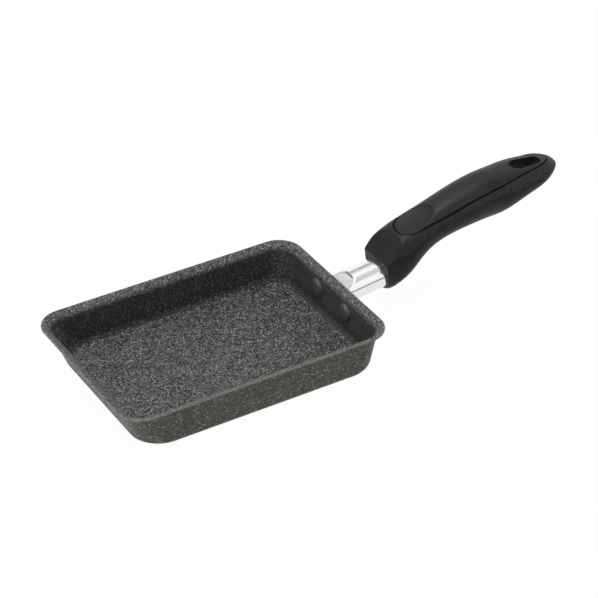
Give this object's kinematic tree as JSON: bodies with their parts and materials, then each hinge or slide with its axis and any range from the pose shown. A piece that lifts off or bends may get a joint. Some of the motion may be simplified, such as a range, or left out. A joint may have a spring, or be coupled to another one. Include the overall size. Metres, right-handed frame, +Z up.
{
  "type": "rolled omelette pan",
  "caption": "Rectangular rolled-omelette pan with a flared lip and speckled non-stick coating, a riveted bracket in a polished flame guard and a rising black grip with a hanging slot.",
  "frame": {"origin": "middle of the lip's length and width, on the surface that the pan stands on", "axes": "+X from the pan along the handle to its tail, +Y to the pan's left side, +Z up out of the opening"},
  "size_m": [0.364, 0.135, 0.0779],
  "materials": {
    "pan_coating": "dark grey non-stick coating with fine light and dark speckles",
    "rivet_metal": "dark satin coating",
    "bracket_metal": "matte, as cast",
    "guard_metal": "polished",
    "grip_plastic": "satin black",
    "inlay_plastic": "soft satin black",
    "fastener_steel": "zinc plated"
  },
  "bodies": {
    "root": {"pan_body": "pan_coating", "pan_rivets": "rivet_metal", "handle_bracket": "bracket_metal", "flame_guard": "guard_metal", "handle_body": "grip_plastic", "handle_inlay": "inlay_plastic", "handle_screw": "fastener_steel", "screw_washer": "fastener_steel", "spring_washer": "fastener_steel"}
  },
  "joints": []
}
